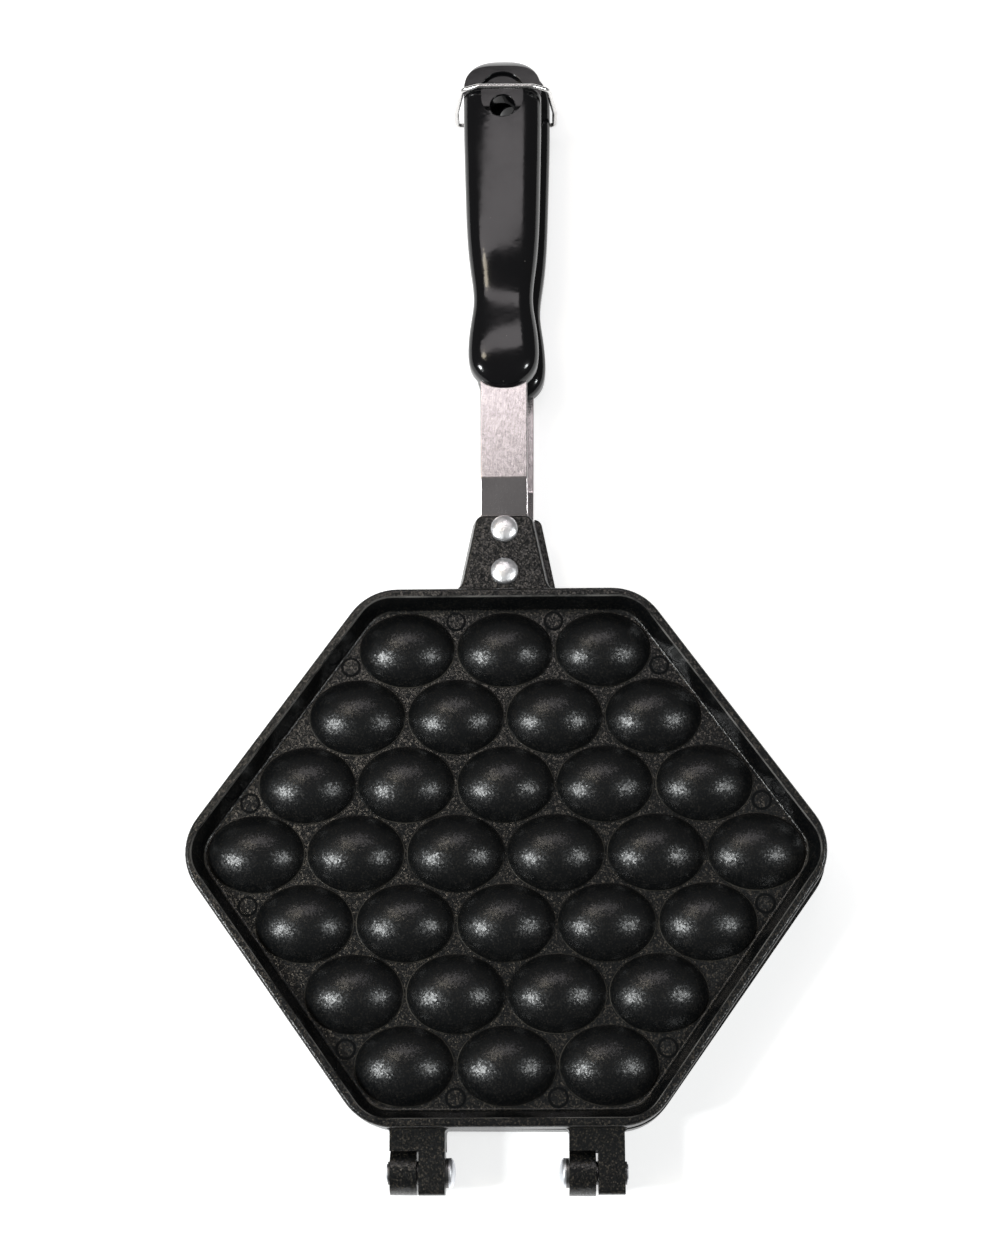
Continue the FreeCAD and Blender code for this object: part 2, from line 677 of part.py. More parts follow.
upper_grip_tools = fuse("upper_grip_tools", [hang_recess, hang_eye, tang_slot] + screw_tools)
lower_grip_tools = fuse("lower_grip_tools", [hang_recess, hang_eye, tang_slot] + screw_tools + bail_holes)

for half, tools in (("upper", upper_grip_tools), ("lower", lower_grip_tools)):
    sheet_body = strap_sheet(half)
    screw_hole = cylinder(half + "_strap_screw_hole", "screw_radius + screw_hole_play",
                          "2 * half_thickness", "0", "screw_place", "-half_thickness")
    strap_holes = [cylinder("%s_strap_%s_hole" % (half, which), "rivet_radius + rivet_hole_play",
                            "2 * half_thickness", "0", which + "_rivet", "-half_thickness")
                   for which in ("first", "second")]
    strap = cut(half + "_strap", sheet_body, fuse(half + "_strap_holes", strap_holes + [screw_hole]))
    place_node(strap, half + "_handle_strap", half)

    moulding = carry_on(half + "_grip_moulding", cut(half + "_grip_blank", stepped_grip, tools))
    round_edges(moulding, half + "_hang_edges", "hang_hole_edge_radius", is_hang_edge)
    place_node(moulding, half + "_grip", half)

    for which, label in (("first", "outer"), ("second", "inner")):
        place_node(strap_rivet(half, which), "%s_%s_rivet" % (half, label), half)

    # Grip screw, driven from the inner face through the tang
    head_level = "(grip_inner_gap + screw_head_recess)"
    screw_head = cylinder(half + "_screw_head", "screw_head_radius", "screw_head_height",
                          "0", "screw_place", head_level)
    screw_shank = cylinder(half + "_screw_shank", "screw_radius", "screw_length",
                           "0", "screw_place", head_level + " + screw_head_height")
    slots = [
        box(half + "_screw_slot_across", ("-screw_head_radius / 2", "screw_head_radius / 2"),
            ("screw_place - screw_slot_width / 2", "screw_place + screw_slot_width / 2"),
            ("0", head_level + " + screw_slot_depth")),
        box(half + "_screw_slot_along", ("-screw_slot_width / 2", "screw_slot_width / 2"),
            ("screw_place - screw_head_radius / 2", "screw_place + screw_head_radius / 2"),
            ("0", head_level + " + screw_slot_depth")),
    ]
    screw = cut(half + "_screw", fuse(half + "_screw_blank", [screw_head, screw_shank]),
                fuse(half + "_screw_slots", slots))
    place_node(screw, half + "_grip_screw", half)


def washer(name, radius, thickness, start):
    """A flat washer on the hinge axis, from a place along X."""
    disc = cylinder(name + "_disc", radius, thickness, start, along="x")
    hole = cylinder(name + "_hole", "pin_radius + washer_bore_play", thickness + " + 2 * overrun",
                    start + " - overrun", along="x")
    return cut(name, disc, hole)


# Hinge pins, their round heads towards the middle of the pan, with their washers
shank_start = "(hinge_inner - washer_seat - head_washer_thickness)"
shank_end = "(hinge_outer + washer_seat + tail_washer_thickness)"
for hinge_name, way in (("left", "-"), ("right", "")):
    head = round_head(hinge_name + "_pin_head", "pin_head_radius", "pin_head_rim", "pin_head_height")
    shank = cylinder(hinge_name + "_pin_shank", "pin_radius", "%s - %s" % (shank_end, shank_start),
                     z="%s - %s" % (shank_start, shank_end))
    tail = cylinder(hinge_name + "_pin_tail", "pin_tail_radius", "pin_tail_height",
                    z="%s - %s - pin_tail_height" % (shank_start, shank_end))
    place_node(fuse(hinge_name + "_pin", [head, shank, tail]), hinge_name + "_hinge_pin",
               hinge_name + "_pin", way + shank_start)

    def along_pin(start, thickness, way=way):
        """Lowest X of a disc that starts at a distance from the middle."""
        return start if way == "" else "-(%s) - %s" % (start, thickness)

    for label, radius, thickness, start in (
            ("head_washer", "head_washer_radius", "head_washer_thickness", shank_start),
            ("spacer_washer", "spacer_radius", "spacer_thickness", "(hinge_spacing - spacer_thickness) / 2"),
            ("tail_washer", "tail_washer_radius", "tail_washer_thickness", "hinge_outer + washer_seat")):
        ring = washer("%s_%s_ring" % (hinge_name, label), radius, thickness, along_pin(start, thickness))
        place_node(ring, "%s_%s" % (hinge_name, label), "hinge")


def bent_wire(points, bend_radii):
    """Straight runs through the points, joined by an arc at each inner point."""
    edges = []
    start = points[0]
    for before, corner, after, bend_radius in zip(points, points[1:], points[2:], bend_radii):
        back = (before - corner).normalize()
        ahead = (after - corner).normalize()
        half_angle = back.getAngle(ahead) / 2
        tangent = bend_radius / math.tan(half_angle)
        entry = corner + back * tangent
        leaving = corner + ahead * tangent
        bisector = (back + ahead).normalize()
        crown = corner + bisector * (bend_radius / math.sin(half_angle) - bend_radius)
        edges.append(Part.LineSegment(start, entry).toShape())
        edges.append(Part.Arc(entry, crown, leaving).toShape())
        start = leaving
    edges.append(Part.LineSegment(start, points[-1]).toShape())
    return Part.Wire(edges)


def bail_form():
    """The locking bail: two hooks in the lower grip, two legs and a bar over the upper grip."""
    level = -size("grip_middle")
    rise = size("bail_bar_height")
    knee_share = size("grip_middle") / rise
    shoulder_share = 1 - size("bail_shoulder_drop") / rise
    stations = []
    for way, hand in ((-1, "left"), (1, "right")):
        reach_out = size("bail_%s_reach" % hand)
        shoulder = reach_out - size("bail_shoulder_step")
        side = [
            (way * (reach_out - size("bail_%s_hook" % hand)), 0),
            (way * reach_out, 0),
            (way * reach_out, knee_share),
            (way * shoulder, shoulder_share),
            (way * (shoulder - size("bail_bar_step")), 1),
        ]
        stations += side if way < 0 else side[::-1]
    points = [FreeCAD.Vector(across, size("bail_place") + size("bail_lean") * share, level + rise * share)
              for across, share in stations]
    hook_bend, bend = size("hook_bend_radius"), size("wire_bend_radius")
    path = bent_wire(points, [hook_bend] + [bend] * 6 + [hook_bend])
    section = Part.Wire([Part.Circle(points[0], FreeCAD.Vector(1, 0, 0), size("wire_radius")).toShape()])
    return path.makePipeShell([section], True, False)


bail = doc.addObject("Part::Feature", "bail_wire")
bail.Shape = bail_form()
place_node(bail, "locking_bail", "lower_upright")

doc.recompute()

# Every object must be whole before anything is written
for thing in doc.Objects:
    if "Invalid" in thing.State or "Error" in thing.State:
        raise RuntimeError("%s failed: %s" % (thing.Name, thing.State))
for label, thing in nodes.items():
    if thing.Shape.isNull() or not thing.Shape.isValid() or not thing.Shape.Solids:
        raise RuntimeError("%s has no valid shape" % label)
for label, thing in nodes.items():
    thing.Shape.exportStep("parts/%s.step" % label)
    print("%-24s solids %d volume %10.2f" % (label, len(thing.Shape.Solids), thing.Shape.Volume))
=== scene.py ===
import math

import bpy
from mathutils import Matrix, Vector


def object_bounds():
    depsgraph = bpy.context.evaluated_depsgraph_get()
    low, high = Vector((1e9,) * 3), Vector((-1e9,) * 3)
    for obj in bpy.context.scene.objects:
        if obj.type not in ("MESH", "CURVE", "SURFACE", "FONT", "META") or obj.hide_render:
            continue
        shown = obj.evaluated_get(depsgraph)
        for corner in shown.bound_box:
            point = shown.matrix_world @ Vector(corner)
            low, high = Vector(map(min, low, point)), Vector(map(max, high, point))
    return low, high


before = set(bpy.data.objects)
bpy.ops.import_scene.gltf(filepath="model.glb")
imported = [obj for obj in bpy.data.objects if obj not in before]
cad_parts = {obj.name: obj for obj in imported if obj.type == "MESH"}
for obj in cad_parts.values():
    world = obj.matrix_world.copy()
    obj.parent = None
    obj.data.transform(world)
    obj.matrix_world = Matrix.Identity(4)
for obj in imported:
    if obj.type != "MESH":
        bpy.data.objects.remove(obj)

cad_low, cad_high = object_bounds()

# Pan halves
# Two equal aluminium castings, closed face to face. Their outer faces show the backs of the
# egg cups inside a raised hexagonal rim. A black non-stick coat covers them, baked on over a
# blasted surface: it is fine-grained. The paler lines at the foot of each bulge and along the rim's
# upper inner edge are painted highlights.

HALF_THICKNESS = 0.0155
FLOOR_LEVEL = 0.007
HINGE_Y = -0.202947
PAN_CENTRE_Y = 0.107197
SIDE_SINE = 0.8131
SIDE_COSINE = 0.5821
HALF_YAW = {"upper": math.radians(0.25), "lower": math.radians(-0.25)}
HALF_SIDE = {"upper": 1.0, "lower": -1.0}


def set_inputs(tree, node, inputs):
    """Set a node's inputs; a socket as a value is linked."""
    for key, value in inputs.items():
        if isinstance(value, bpy.types.NodeSocket):
            tree.links.new(value, node.inputs[key])
        else:
            node.inputs[key].default_value = value


def new_material(name):
    """A material with its node tree and its Principled shader."""
    material = bpy.data.materials.new(name)
    material.use_nodes = True
    tree = material.node_tree
    return material, tree, tree.nodes["Principled BSDF"]


def add_node(tree, kind, inputs=None, **settings):
    node = tree.nodes.new(kind)
    for setting, value in settings.items():
        setattr(node, setting, value)
    set_inputs(tree, node, inputs or {})
    return node


def math_node(tree, operation, first, second=0.0, third=0.0):
    node = add_node(tree, "ShaderNodeMath", {0: first, 1: second, 2: third}, operation=operation)
    return node.outputs[0]


def vector_node(tree, operation, inputs):
    return add_node(tree, "ShaderNodeVectorMath", inputs, operation=operation).outputs["Vector"]


def span(tree, value, low, high, bottom=0.0, top=1.0):
    """Map a value from one range to another, held at both ends."""
    node = add_node(tree, "ShaderNodeMapRange", {"Value": value, "From Min": low, "From Max": high,
                                                 "To Min": bottom, "To Max": top})
    return node.outputs["Result"]


def fall(tree, value, low, high):
    """One below a range and zero above it."""
    return span(tree, value, low, high, 1.0, 0.0)


def taken_away(tree, value, mask, share=1.0):
    """A value less the share of it that a mask takes away."""
    return math_node(tree, "MULTIPLY", value, math_node(tree, "MULTIPLY_ADD", mask, -share, 1.0))


def shifted(tree, value, *changes):
    """A value with a change added wherever the mask that goes with it is set."""
    for mask, change in changes:
        value = math_node(tree, "MULTIPLY_ADD", mask, change, value)
    return value


def mix_tones(tree, factor, first, second):
    """A blend of two colours, each three numbers or a socket."""
    tones = {"A": first, "B": second}
    for key, tone in tones.items():
        if not isinstance(tone, bpy.types.NodeSocket):
            tones[key] = tone + (1.0,)
    return add_node(tree, "ShaderNodeMix", {"Factor": factor, **tones}, data_type="RGBA").outputs["Result"]


def noise_value(tree, place, scale, detail, roughness=0.5):
    """Noise with so many features to the metre."""
    noise = add_node(tree, "ShaderNodeTexNoise",
                     {"Vector": place, "Scale": scale, "Detail": detail, "Roughness": roughness})
    return noise.outputs["Fac"]


def connect(tree, shader, tone, roughness, normal):
    tree.links.new(tone, shader.inputs["Base Color"])
    tree.links.new(roughness, shader.inputs["Roughness"])
    tree.links.new(normal, shader.inputs["Normal"])


def new_group(name, inputs, outputs):
    """A shader node group with named inputs (value and default) and outputs."""
    tree = bpy.data.node_groups.new(name, "ShaderNodeTree")
    for label, kind, default in inputs:
        socket = tree.interface.new_socket(name=label, in_out="INPUT", socket_type="NodeSocket" + kind)
        if default is not None:
            socket.default_value = default
    for label, kind in outputs:
        tree.interface.new_socket(name=label, in_out="OUTPUT", socket_type="NodeSocket" + kind)
    entry = tree.nodes.new("NodeGroupInput")
    leaving = tree.nodes.new("NodeGroupOutput")
    return tree, entry, leaving


def place_group(tree, group, inputs):
    node = tree.nodes.new("ShaderNodeGroup")
    node.node_tree = group
    set_inputs(tree, node, inputs)
    return node


def dress(names, material):
    """Give CAD nodes a material."""
    for name in names:
        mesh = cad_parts[name].data
        mesh.materials.clear()
        mesh.materials.append(material)


# Grain of a blasted surface, in groups for all pieces that need it

MIDDLE_TONE = (0.5, 0.5, 0.5)
FLECK_SHARPNESS = 6.0
CLOUDS_PER_METRE = 60.0


def grain_group():
    """Blasted grain: every grain has its own tone and a face that leans its own way."""
    tree, entry, leaving = new_group(
        "blasted_grain",
        [("Vector", "Vector", None), ("Normal", "Vector", None), ("Grain Size", "Float", 0.0006),
         ("Lean", "Float", 0.2)],
        [("Fleck", "Float"), ("Cloud", "Float"), ("Normal", "Vector")])
    place = entry.outputs["Vector"]
    grains_per_metre = math_node(tree, "DIVIDE", 1.0, entry.outputs["Grain Size"])
    grains = add_node(tree, "ShaderNodeTexVoronoi",
                      {"Vector": place, "Scale": grains_per_metre, "Randomness": 1.0})
    parts = add_node(tree, "ShaderNodeSeparateColor", {"Color": grains.outputs["Color"]})
    fleck = math_node(tree, "POWER", parts.outputs["Green"], FLECK_SHARPNESS)
    spread = vector_node(tree, "SUBTRACT", {0: grains.outputs["Color"], 1: MIDDLE_TONE})
    leaning = vector_node(tree, "SCALE", {0: spread, "Scale": entry.outputs["Lean"]})
    tipped = vector_node(tree, "ADD", {0: entry.outputs["Normal"], 1: leaning})
    tree.links.new(fleck, leaving.inputs["Fleck"])
    tree.links.new(noise_value(tree, place, CLOUDS_PER_METRE, 4.0, 0.6), leaving.inputs["Cloud"])
    tree.links.new(vector_node(tree, "NORMALIZE", {0: tipped}), leaving.inputs["Normal"])
    return tree


# Masks on a half's own outer side: across and along from its middle, and up from the parting

SPOT_INPUTS = [("Across", "Float", 0.0), ("Along", "Float", 0.0), ("Height", "Float", 0.0)]
FLOOR_REACH = 0.0865
FLOOR_END = (FLOOR_REACH, FLOOR_REACH + 0.0003)
BULGE_RISE = (0.00002, 0.0003)
FOOT_LINE_RISE = (0.0003, 0.0007)


def bulge_group():
    """Mask of the bulges, and of a thin line round the foot of each and of the rim."""
    tree, entry, leaving = new_group("bulge_mask", SPOT_INPUTS, [("Bulge", "Float"), ("Foot Line", "Float")])
    across = math_node(tree, "ABSOLUTE", entry.outputs["Across"])
    along = math_node(tree, "ABSOLUTE", entry.outputs["Along"])
    slant = math_node(tree, "MULTIPLY_ADD", across, SIDE_SINE,
                      math_node(tree, "MULTIPLY", along, SIDE_COSINE))
    inside = fall(tree, math_node(tree, "MAXIMUM", along, slant), *FLOOR_END)
    above_floor = math_node(tree, "SUBTRACT", entry.outputs["Height"], FLOOR_LEVEL)
    bulge = math_node(tree, "MULTIPLY", inside, span(tree, above_floor, *BULGE_RISE))
    line = math_node(tree, "MULTIPLY", bulge, fall(tree, above_floor, *FOOT_LINE_RISE))
    tree.links.new(bulge, leaving.inputs["Bulge"])
    tree.links.new(line, leaving.inputs["Foot Line"])
    return tree


EJECTOR_PLACES = ((0.01725, 0.0829), (0.05434, 0.06652), (0.08877, 0.01798))
EJECTOR_RADIUS = 0.0031
RING_EDGE = (0.0003, 0.0006)
MARK_EDGE = (EJECTOR_RADIUS + 0.0002, EJECTOR_RADIUS + 0.0004)
FLOOR_SIDE = (FLOOR_LEVEL - 0.001, FLOOR_LEVEL - 0.0005)


def ejector_group():
    """Masks of a half's ejector marks and of the thin dark ring round each."""
    tree, entry, leaving = new_group("ejector_rings", SPOT_INPUTS, [("Ring", "Float"), ("Mark", "Float")])
    across = math_node(tree, "ABSOLUTE", entry.outputs["Across"])
    along = math_node(tree, "ABSOLUTE", entry.outputs["Along"])
    nearest_ring, nearest_mark = None, None
    for mark_across, mark_along in EJECTOR_PLACES:
        aside = math_node(tree, "POWER", math_node(tree, "SUBTRACT", across, mark_across), 2.0)
        ahead = math_node(tree, "POWER", math_node(tree, "SUBTRACT", along, mark_along), 2.0)
        away = math_node(tree, "SQRT", math_node(tree, "ADD", aside, ahead))
        off_ring = math_node(tree, "ABSOLUTE", math_node(tree, "SUBTRACT", away, EJECTOR_RADIUS))
        if nearest_mark is None:
            nearest_ring, nearest_mark = off_ring, away
        else:
            nearest_ring = math_node(tree, "MINIMUM", nearest_ring, off_ring)
            nearest_mark = math_node(tree, "MINIMUM", nearest_mark, away)
    outer_side = span(tree, entry.outputs["Height"], *FLOOR_SIDE)
    ring = math_node(tree, "MULTIPLY", fall(tree, nearest_ring, *RING_EDGE), outer_side)
    mark = math_node(tree, "MULTIPLY", fall(tree, nearest_mark, *MARK_EDGE), outer_side)
    tree.links.new(ring, leaving.inputs["Ring"])
    tree.links.new(mark, leaving.inputs["Mark"])
    return tree


FACING_IN = (-0.03, -0.01)
STEEP_FACE = (0.45, 0.65)
WALL_SIDE = (FLOOR_LEVEL + 0.0001, FLOOR_LEVEL + 0.0004)
EDGE_LINE_RISE = (HALF_THICKNESS - 0.0011, HALF_THICKNESS - 0.0006)


def rim_wall_group():
    """Masks of the steep wall inside the rim and of a painted highlight line along its upper edge."""
    tree, entry, leaving = new_group("rim_wall", SPOT_INPUTS + [("Facing", "Vector", None)],
                                     [("Wall", "Float"), ("Edge Line", "Float")])
    facing = add_node(tree, "ShaderNodeSeparateXYZ", {"Vector": entry.outputs["Facing"]})
    sideways = math_node(tree, "MULTIPLY", entry.outputs["Across"], facing.outputs["X"])
    outwards = math_node(tree, "MULTIPLY_ADD", entry.outputs["Along"], facing.outputs["Y"], sideways)
    inward = fall(tree, outwards, *FACING_IN)
    steep = fall(tree, math_node(tree, "ABSOLUTE", facing.outputs["Z"]), *STEEP_FACE)
    outer_side = span(tree, entry.outputs["Height"], *WALL_SIDE)
    wall = math_node(tree, "MULTIPLY", math_node(tree, "MULTIPLY", inward, steep), outer_side)
    line = math_node(tree, "MULTIPLY", wall, span(tree, entry.outputs["Height"], *EDGE_LINE_RISE))
    tree.links.new(wall, leaving.inputs["Wall"])
    tree.links.new(line, leaving.inputs["Edge Line"])
    return tree


blasted_grain = grain_group()
bulge_mask = bulge_group()
ejector_rings = ejector_group()
rim_wall = rim_wall_group()

COAT_TONE = (0.0026, 0.0031, 0.0035)
FLECK_TONE = (0.05, 0.043, 0.034)
FOOT_HIGHLIGHT_TONE = (0.1, 0.093, 0.08)
EDGE_HIGHLIGHT_TONE = (0.2, 0.195, 0.185)
COAT_GRAIN_SIZE = 0.00045
COAT_LEAN = 0.25
COAT_ROUGHNESS = 0.25
FOOT_HIGHLIGHT_CLOUDS = (0.42, 0.62)
EDGE_HIGHLIGHT_CLOUDS = (0.4, 0.6)


def coated_casting(half):
    """Black coat on the cast half; the bulges are smoother than the grainy floor and rim."""
    material, tree, shader = new_material("coated_casting_" + half)
    place = add_node(tree, "ShaderNodeTexCoord")
    facing = add_node(tree, "ShaderNodeNewGeometry").outputs["Normal"]
    in_half = add_node(tree, "ShaderNodeMapping",
                       {"Vector": place.outputs["Object"], "Location": (0.0, HINGE_Y, HALF_THICKNESS),
                        "Rotation": (0.0, 0.0, HALF_YAW[half])}, vector_type="TEXTURE")
    axes = add_node(tree, "ShaderNodeSeparateXYZ", {"Vector": in_half.outputs["Vector"]})
    spot = {"Across": axes.outputs["X"],
            "Along": math_node(tree, "SUBTRACT", axes.outputs["Y"], PAN_CENTRE_Y),
            "Height": math_node(tree, "MULTIPLY", axes.outputs["Z"], HALF_SIDE[half])}
    bulges = place_group(tree, bulge_mask, spot)
    marks = place_group(tree, ejector_rings, spot)
    rim_parts = place_group(tree, rim_wall, dict(spot, Facing=place.outputs["Normal"]))

    ring = marks.outputs["Ring"]
    bulge = taken_away(tree, bulges.outputs["Bulge"], marks.outputs["Mark"])
    foot_line = taken_away(tree, bulges.outputs["Foot Line"], marks.outputs["Mark"])
    wall = taken_away(tree, rim_parts.outputs["Wall"], bulge)
    edge_line = taken_away(tree, rim_parts.outputs["Edge Line"], bulge)

    lean = shifted(tree, COAT_LEAN, (bulge, -0.08), (wall, -0.21), (ring, -0.22))
    grain = place_group(tree, blasted_grain, {"Vector": place.outputs["Object"], "Normal": facing,
                                              "Grain Size": COAT_GRAIN_SIZE, "Lean": lean})
    cloud = grain.outputs["Cloud"]
    fleck = taken_away(tree, grain.outputs["Fleck"], bulge, 0.8)
    fleck = taken_away(tree, fleck, ring)
    # painted shade: most flecks are taken off the steep wall inside the rim so that it reads darker
    fleck = taken_away(tree, fleck, wall, 0.8)
    tone = mix_tones(tree, fleck, COAT_TONE, FLECK_TONE)
    # painted highlight: a thin paler line round the foot of each bulge, broken up by the clouds
    foot_highlight = math_node(tree, "MULTIPLY", foot_line, span(tree, cloud, *FOOT_HIGHLIGHT_CLOUDS, 0.1, 0.9))
    tone = mix_tones(tree, foot_highlight, tone, FOOT_HIGHLIGHT_TONE)
    # painted highlight: a pale line along the upper edge of the wall inside the rim, broken up by the clouds
    edge_highlight = math_node(tree, "MULTIPLY", edge_line, span(tree, cloud, *EDGE_HIGHLIGHT_CLOUDS, 0.15, 1.0))
    tone = mix_tones(tree, edge_highlight, tone, EDGE_HIGHLIGHT_TONE)
    roughness = shifted(tree, COAT_ROUGHNESS, (cloud, 0.08), (bulge, 0.02), (ring, -0.15), (wall, -0.08))
    connect(tree, shader, tone, roughness, grain.outputs["Normal"])
    shader.inputs["Specular IOR Level"].default_value = 0.4
    return material


for half in HALF_YAW:
    dress([half + "_pan_half"], coated_casting(half))

# Handle straps
# One bent strip of stainless steel for each half, riveted to the inner side of the casting's
# tongue and let into the grip. The strip has a satin rolled face with faint lengthwise streaks.

STREAKS_PER_METRE = 2600.0
STREAK_STRETCH = (1.0, 0.12, 1.0)
STREAK_DEPTH = 0.00003
STRAP_GRAIN_SIZE = 0.0009
STRAP_LEAN = 0.02


def satin_steel():
    material, tree, shader = new_material("satin_strip_steel")
    place = add_node(tree, "ShaderNodeTexCoord").outputs["Object"]
    facing = add_node(tree, "ShaderNodeNewGeometry").outputs["Normal"]
    stretched = add_node(tree, "ShaderNodeMapping", {"Vector": place, "Scale": STREAK_STRETCH})
    streaks = noise_value(tree, stretched.outputs["Vector"], STREAKS_PER_METRE, 3.0)
    grain = place_group(tree, blasted_grain, {"Vector": place, "Normal": facing,
                                              "Grain Size": STRAP_GRAIN_SIZE, "Lean": STRAP_LEAN})
    tone = mix_tones(tree, streaks, (0.48, 0.45, 0.46), (0.62, 0.58, 0.58))
    roughness = span(tree, grain.outputs["Cloud"], 0.0, 1.0, 0.2, 0.3)
    bump = add_node(tree, "ShaderNodeBump", {"Height": streaks, "Distance": STREAK_DEPTH,
                                             "Normal": grain.outputs["Normal"]})
    connect(tree, shader, tone, roughness, bump.outputs["Normal"])
    shader.inputs["Metallic"].default_value = 1.0
    return material


dress(["upper_handle_strap", "lower_handle_strap"], satin_steel())

# Grips
# Long waisted handles of black phenolic plastic on the straps' tangs, each held by a screw.
# The moulding is glossy, with a faint unevenness and a few dust specks set in it.

RIPPLES_PER_METRE = 260.0
RIPPLE_DEPTH = 0.00005
SMEARS_PER_METRE = 70.0
SPECKS_PER_METRE = 150.0
SPECK_EDGE = (0.03, 0.05)
SMEAR_CLOUDS = (0.3, 0.75)


def gloss_moulding():
    material, tree, shader = new_material("gloss_moulding")
    place = add_node(tree, "ShaderNodeTexCoord").outputs["Object"]
    dust = add_node(tree, "ShaderNodeTexVoronoi", {"Vector": place, "Scale": SPECKS_PER_METRE})
    speck = fall(tree, dust.outputs["Distance"], *SPECK_EDGE)
    tone = mix_tones(tree, speck, (0.0045, 0.0044, 0.005), (0.06, 0.058, 0.055))
    smear = noise_value(tree, place, SMEARS_PER_METRE, 4.0, 0.6)
    roughness = span(tree, smear, *SMEAR_CLOUDS, 0.08, 0.2)
    ripple = noise_value(tree, place, RIPPLES_PER_METRE, 2.0)
    bump = add_node(tree, "ShaderNodeBump", {"Height": ripple, "Distance": RIPPLE_DEPTH, "Strength": 0.25})
    connect(tree, shader, tone, roughness, bump.outputs["Normal"])
    shader.inputs["Specular IOR Level"].default_value = 0.36
    return material


dress(["upper_grip", "lower_grip"], gloss_moulding())

# Rivets
# Round-headed aluminium rivets hold each strap to its tongue. The heads were set with a
# hammer, which leaves them bright and slightly uneven.

SMUDGES_PER_METRE = 420.0


def bright_metal(name, dark, light, roughness, dent_size, dent_depth):
    """Bright formed metal with shallow dents and a faint smudge of dirt."""
    material, tree, shader = new_material(name)
    place = add_node(tree, "ShaderNodeTexCoord").outputs["Object"]
    smudge = noise_value(tree, place, SMUDGES_PER_METRE, 4.0)
    tone = mix_tones(tree, smudge, dark, light)
    smudged = span(tree, smudge, 0.0, 1.0, roughness * 0.8, roughness * 1.3)
    dents = noise_value(tree, place, 1.0 / dent_size, 1.5)
    bump = add_node(tree, "ShaderNodeBump", {"Height": dents, "Distance": dent_depth})
    connect(tree, shader, tone, smudged, bump.outputs["Normal"])
    shader.inputs["Metallic"].default_value = 1.0
    return material


dress(["upper_outer_rivet", "upper_inner_rivet", "lower_outer_rivet", "lower_inner_rivet"],
      bright_metal("hammered_aluminium", (0.76, 0.76, 0.78), (0.97, 0.97, 0.98), roughness=0.38,
                   dent_size=0.0016, dent_depth=0.00016))

# Hinge pins and washers
# Two steel pins with round heads towards the middle join the lugs of the halves. A dark
# washer sits under each head and tail, and a small one between the knuckles.

dress(["left_hinge_pin", "right_hinge_pin"],
      bright_metal("pin_steel", (0.72, 0.74, 0.78), (0.9, 0.91, 0.94), roughness=0.45,
                   dent_size=0.003, dent_depth=0.00008))
dress([side + place + "_washer" for side in ("left_", "right_") for place in ("head", "tail", "spacer")],
      bright_metal("washer_steel", (0.1, 0.1, 0.105), (0.24, 0.235, 0.23), roughness=0.42,
                   dent_size=0.001, dent_depth=0.00006))

# Locking bail
# A bent spring wire. Its two hooks turn in the sides of the lower grip, and its bar snaps
# over the upper grip to keep the pan shut.

dress(["locking_bail"],
      bright_metal("drawn_wire", (0.62, 0.61, 0.6), (0.85, 0.84, 0.83), roughness=0.26,
                   dent_size=0.0016, dent_depth=0.00005))

# Grip screws
# A small plated screw fixes each grip on its strap from the inner face.

dress(["upper_grip_screw", "lower_grip_screw"],
      bright_metal("plated_screw", (0.5, 0.5, 0.49), (0.75, 0.75, 0.73), roughness=0.3,
                   dent_size=0.001, dent_depth=0.00003))

# Table
# The pan lies on a plain white table that runs on to the horizon. The table glows a little
# where it is looked at, more so far away, to stay white without more light on the pan.

TABLE_REACH = 6.0
TABLE_GAP = 0.0002
LIFT_START, LIFT_END = 0.3, 1.5
NEAR_LIFT, FAR_LIFT = 0.58, 1.0


def white_table():
    material, tree, shader = new_material("white_table")
    shader.inputs["Base Color"].default_value = (0.8, 0.8, 0.8, 1.0)
    shader.inputs["Roughness"].default_value = 0.9
    shader.inputs["Specular IOR Level"].default_value = 0.0
    paths = add_node(tree, "ShaderNodeLightPath")
    seen = math_node(tree, "ADD", paths.outputs["Is Camera Ray"], paths.outputs["Is Glossy Ray"])
    seen = math_node(tree, "ADD", seen, paths.outputs["Is Transmission Ray"])
    seen = math_node(tree, "MINIMUM", seen, 1.0)
    place = add_node(tree, "ShaderNodeTexCoord").outputs["Object"]
    away = add_node(tree, "ShaderNodeVectorMath", {0: place}, operation="LENGTH").outputs["Value"]
    strength = math_node(tree, "MULTIPLY", seen, span(tree, away, LIFT_START, LIFT_END, NEAR_LIFT, FAR_LIFT))
    lift = add_node(tree, "ShaderNodeEmission", {"Color": (1.0, 1.0, 1.0, 1.0), "Strength": strength})
    joined = add_node(tree, "ShaderNodeAddShader", {0: shader.outputs[0], 1: lift.outputs[0]})
    tree.links.new(joined.outputs[0], tree.nodes["Material Output"].inputs["Surface"])
    return material


corners = [(across * TABLE_REACH, along * TABLE_REACH, 0.0)
           for across, along in ((-1, -1), (1, -1), (1, 1), (-1, 1))]
table_mesh = bpy.data.meshes.new("table_top")
table_mesh.from_pydata(corners, [], [(0, 1, 2, 3)])
table_mesh.materials.append(white_table())
table = bpy.data.objects.new("table_top", table_mesh)
bpy.context.scene.collection.objects.link(table)
table.location.z = cad_low.z - TABLE_GAP

# Light
# A small bright lamp at each side, a weak warm one behind, a long window card above the
# handle and a dim room.

PAN_MIDDLE = Vector((0.0, PAN_CENTRE_Y + HINGE_Y, 0.02))
GRIP_MIDDLE = Vector((0.0, 0.34 + HINGE_Y, 0.03))
COOL_WHITE = (0.97, 1.0, 1.0)
WARM_WHITE = (1.0, 0.9, 0.72)
WINDOW_WHITE = (1.0, 0.94, 0.96)
ROOM_LEVEL = 0.12


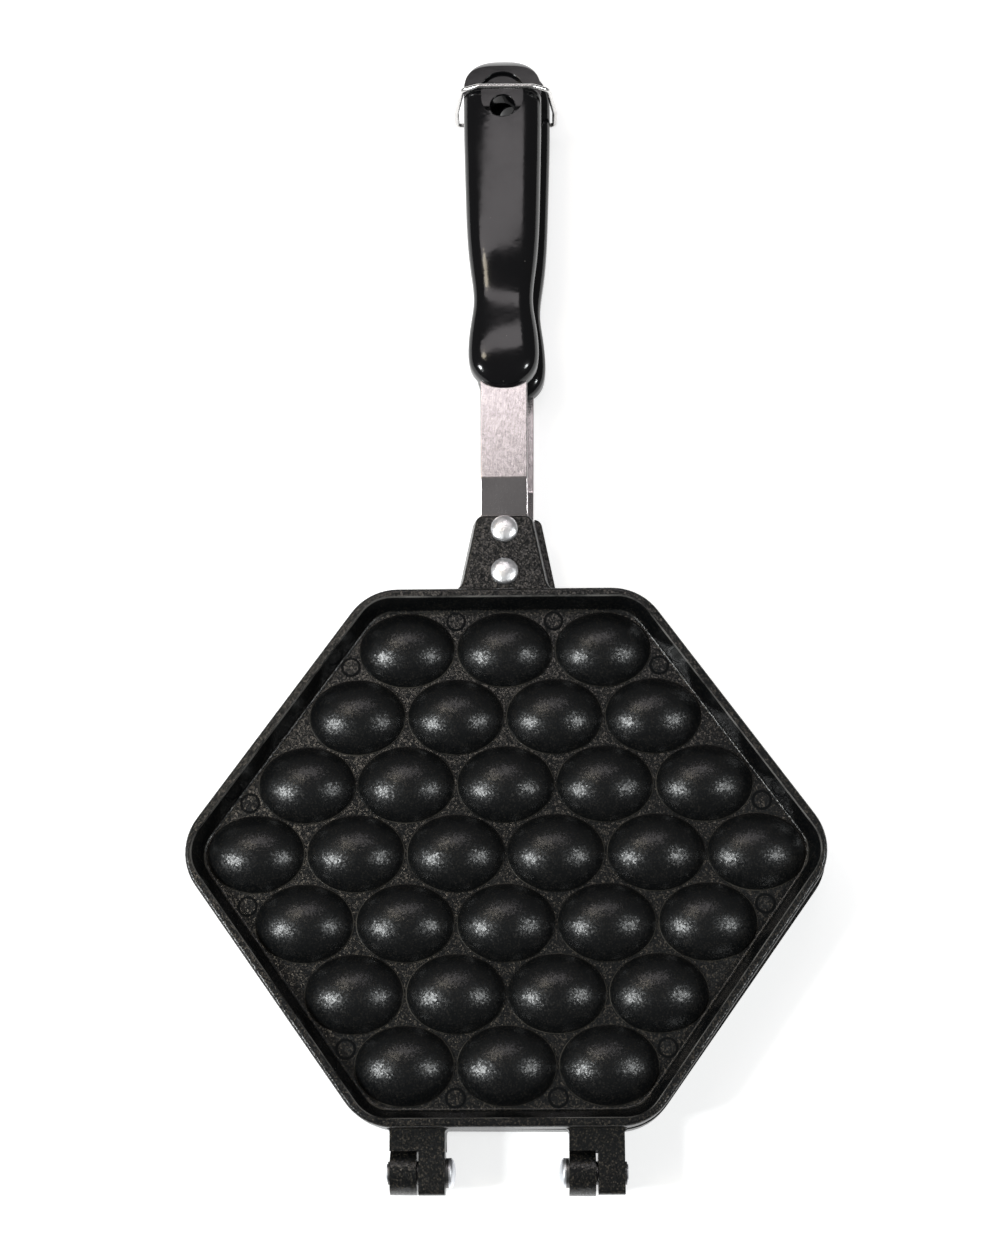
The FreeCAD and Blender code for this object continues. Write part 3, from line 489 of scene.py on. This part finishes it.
def card(name, across_tilt, along_tilt, distance, width, height, radiance, colour, aim=PAN_MIDDLE):
    """A rectangular lamp placed by its tilt from the vertical, across and along, in degrees."""
    data = bpy.data.lights.new(name, "AREA")
    data.shape = "RECTANGLE"
    data.size = width
    data.size_y = height
    data.energy = radiance * math.pi * width * height
    data.color = colour
    lamp = bpy.data.objects.new(name, data)
    bpy.context.scene.collection.objects.link(lamp)
    across = math.tan(math.radians(across_tilt))
    along = math.tan(math.radians(along_tilt))
    ray = Vector((across, along, 1.0)).normalized()
    lamp.location = aim + ray * distance
    lamp.rotation_mode = "QUATERNION"
    lamp.rotation_quaternion = ray.to_track_quat("Z", "Y")


card("left_lamp", -44.0, -14.5, distance=1.2, width=0.22, height=0.22, radiance=82.0, colour=COOL_WHITE)
card("right_lamp", 39.5, -8.0, distance=1.2, width=0.18, height=0.18, radiance=50.0, colour=COOL_WHITE)
card("back_lamp", -21.0, 23.0, distance=1.2, width=0.16, height=0.16, radiance=15.0, colour=WARM_WHITE)
card("window_card", -6.5, 23.8, distance=1.07, width=0.88, height=0.25, radiance=3.3,
     colour=WINDOW_WHITE, aim=GRIP_MIDDLE)

world = bpy.data.worlds.new("dim_room")
bpy.context.scene.world = world
world.use_nodes = True
room = world.node_tree
sky = room.nodes["Background"]
sky.inputs["Color"].default_value = (1.0, 1.0, 1.0, 1.0)
sky_paths = add_node(room, "ShaderNodeLightPath")
sky_strength = math_node(room, "MULTIPLY_ADD", sky_paths.outputs["Is Camera Ray"],
                         1.0 - ROOM_LEVEL, ROOM_LEVEL)
room.links.new(sky_strength, sky.inputs["Strength"])

# Camera
# Above the pan, a little towards the hinge, looking down and slightly up along the handle.
# Its place was fitted in the upper half's own frame, with the middle of its floor as origin.

FOCAL_PIXELS = 2300.0
FRAME_PIXELS = 1250.0
VIEW_TILTS = (("X", -15.424), ("Y", -0.951), ("Z", 0.215))
VIEW_SHIFT = Vector((0.002040, -0.079793, -0.804764))
SHOT_SCALE = 0.9857

camera_data = bpy.data.cameras.new("camera")
camera = bpy.data.objects.new("camera", camera_data)
bpy.context.scene.collection.objects.link(camera)
camera_data.sensor_width = 36.0
camera_data.lens = FOCAL_PIXELS * camera_data.sensor_width / FRAME_PIXELS
floor_in_view = Matrix.Translation(VIEW_SHIFT * SHOT_SCALE)
for axis, degrees in VIEW_TILTS:
    floor_in_view = floor_in_view @ Matrix.Rotation(math.radians(degrees), 4, axis)
half_place = (Matrix.Translation(Vector((0.0, HINGE_Y, HALF_THICKNESS)))
              @ Matrix.Rotation(HALF_YAW["upper"], 4, "Z"))
floor_place = half_place @ Matrix.Translation(Vector((0.0, PAN_CENTRE_Y, FLOOR_LEVEL)))
camera.matrix_world = floor_place @ floor_in_view.inverted()
bpy.context.scene.camera = camera

bpy.context.scene.view_settings.view_transform = "Standard"
